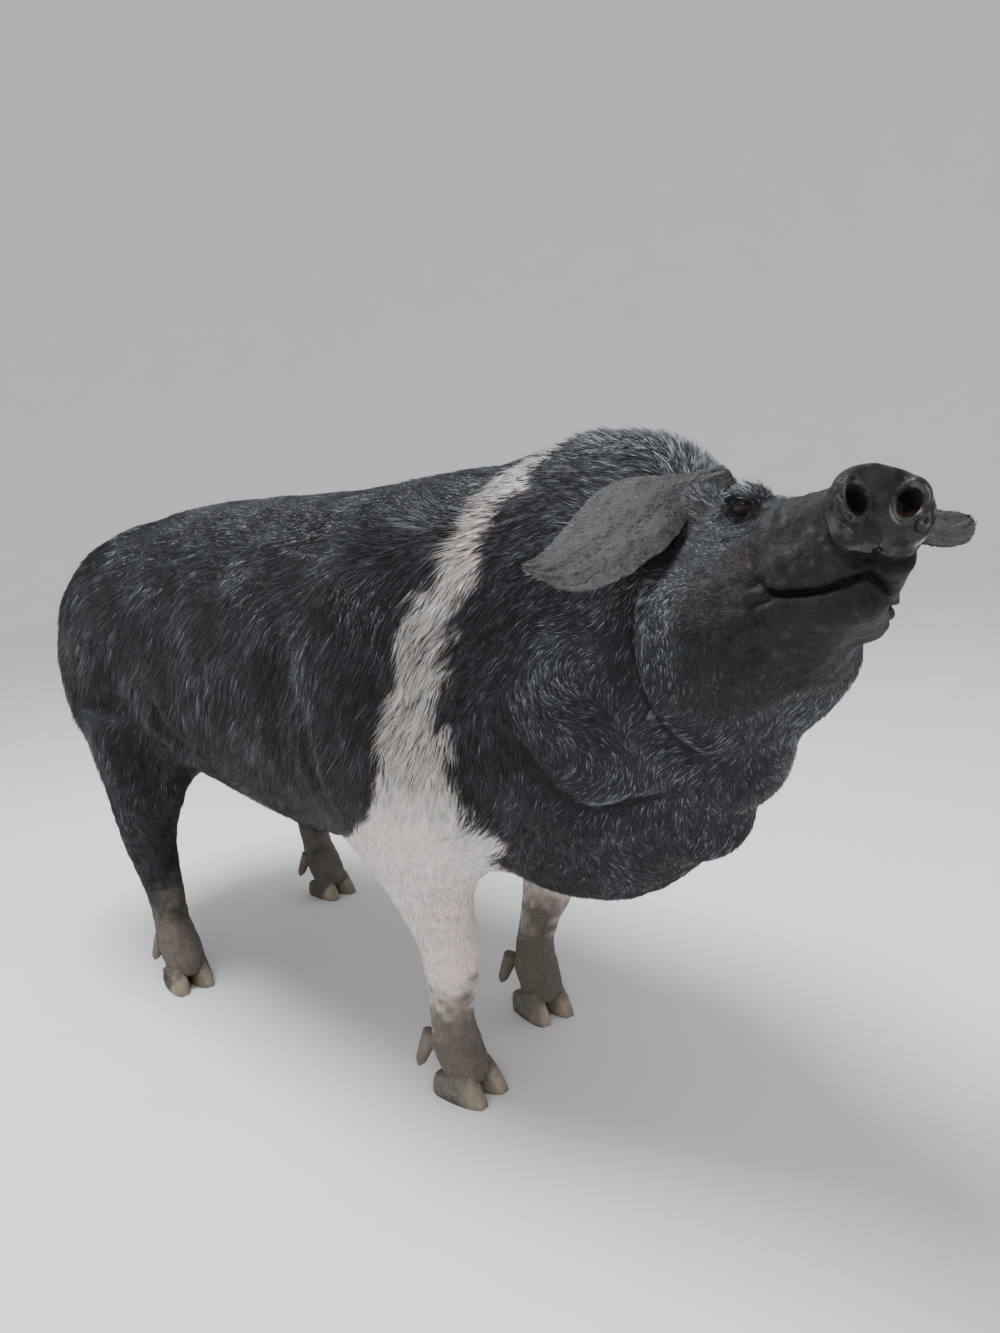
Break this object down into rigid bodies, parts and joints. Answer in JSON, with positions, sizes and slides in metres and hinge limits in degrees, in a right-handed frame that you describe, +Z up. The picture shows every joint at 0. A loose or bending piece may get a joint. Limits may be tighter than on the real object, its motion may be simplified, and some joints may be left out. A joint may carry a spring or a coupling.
{
  "type": "bazna pig model",
  "caption": "Life-size still model of a black pig with a white belt and white forelegs, standing with its head lifted and turned to its right.",
  "frame": {"origin": "on the floor, under the middle of the model's bounding box", "axes": "+X towards the pig's front, +Y towards its left side, +Z up"},
  "size_m": [1.6944, 0.5312, 0.8377],
  "materials": {
    "black_hide": "matt, with coarse black bristles",
    "white_hide": "matt, with coarse white bristles over pink skin",
    "snout_skin": "moist, with a soft shine",
    "ear_skin": "matt, with short fine hair",
    "horn": "worn horn with dried mud",
    "eye": "wet and glossy"
  },
  "bodies": {
    "root": {"torso": "black_hide", "neck": "black_hide", "head": "black_hide", "snout": "snout_skin", "ear_right": "ear_skin", "ear_left": "ear_skin", "eye_right": "eye", "eye_left": "eye", "foreleg_right": "white_hide", "foreleg_left": "white_hide", "hindleg_right": "black_hide", "hindleg_left": "black_hide", "tail": "black_hide", "hoof_foreleg_right_right": "horn", "hoof_foreleg_right_left": "horn", "hoof_foreleg_left_right": "horn", "hoof_foreleg_left_left": "horn", "hoof_hindleg_right_right": "horn", "hoof_hindleg_right_left": "horn", "hoof_hindleg_left_right": "horn", "hoof_hindleg_left_left": "horn", "dewclaw_foreleg_right_right": "horn", "dewclaw_foreleg_right_left": "horn", "dewclaw_foreleg_left_right": "horn", "dewclaw_foreleg_left_left": "horn", "dewclaw_hindleg_right_right": "horn", "dewclaw_hindleg_right_left": "horn", "dewclaw_hindleg_left_right": "horn", "dewclaw_hindleg_left_left": "horn"}
  },
  "joints": []
}
